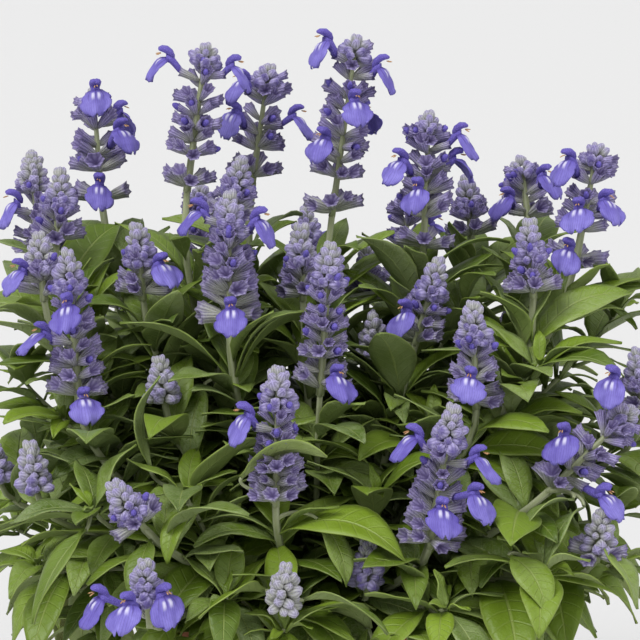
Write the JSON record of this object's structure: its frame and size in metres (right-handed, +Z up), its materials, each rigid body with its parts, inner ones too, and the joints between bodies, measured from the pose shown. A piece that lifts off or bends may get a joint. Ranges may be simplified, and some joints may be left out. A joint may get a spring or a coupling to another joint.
{
  "type": "potted mealycup sage",
  "caption": "Bushy sage plant in a plain tapered clay pot, with lance-shaped leaves in opposite pairs and upright spikes of mealy cups and two-lipped violet-blue flowers.",
  "frame": {"origin": "middle of the pot's flat underside", "axes": "+Z up, -Y towards the viewer of the picture, +X to the viewer's right"},
  "size_m": [0.3015, 0.2791, 0.356],
  "materials": {
    "pot": "matt unglazed clay",
    "soil": "crumbly peat and bark",
    "foliage": "soft satin leaf",
    "flower": "mealy and velvety"
  },
  "bodies": {
    "root": {"pot": "pot", "soil": "soil", "leafy_stem_01": "foliage", "leafy_stem_02": "foliage", "leafy_stem_03": "foliage", "leafy_stem_04": "foliage", "leafy_stem_05": "foliage", "leafy_stem_06": "foliage", "leafy_stem_07": "foliage", "leafy_stem_08": "foliage", "leafy_stem_09": "foliage", "leafy_stem_10": "foliage", "leafy_stem_11": "foliage", "leafy_stem_12": "foliage", "leafy_stem_13": "foliage", "leafy_stem_14": "foliage", "leafy_stem_15": "foliage", "leafy_stem_16": "foliage", "leafy_stem_17": "foliage", "leafy_stem_18": "foliage", "leafy_stem_19": "foliage", "flower_spike_a": "flower", "flower_spike_b1": "flower", "flower_spike_b2": "flower", "flower_spike_c1": "flower", "flower_spike_c2": "flower", "flower_spike_d": "flower", "flower_spike_e": "flower", "flower_spike_f1": "flower", "flower_spike_f2": "flower", "flower_spike_g": "flower", "flower_spike_h": "flower", "flower_spike_i": "flower", "flower_spike_j": "flower", "flower_spike_k": "flower", "flower_spike_l": "flower", "flower_spike_m": "flower", "flower_spike_n": "flower", "flower_spike_o": "flower", "flower_spike_p": "flower", "flower_spike_q": "flower", "flower_spike_r": "flower", "flower_spike_s": "flower", "flower_spike_t": "flower", "flower_spike_u": "flower", "flower_spike_v": "flower", "flower_spike_w": "flower", "flower_spike_x": "flower", "flower_spike_y": "flower", "flower_spike_z": "flower", "flower_spike_aa": "flower", "flower_spike_ac": "flower", "flower_spike_ad": "flower", "flower_spike_ae": "flower", "flower_spike_af": "flower", "flower_spike_ba": "flower", "flower_spike_bb": "flower", "flower_spike_bc": "flower", "flower_spike_bd": "flower", "flower_spike_be": "flower"}
  },
  "joints": []
}
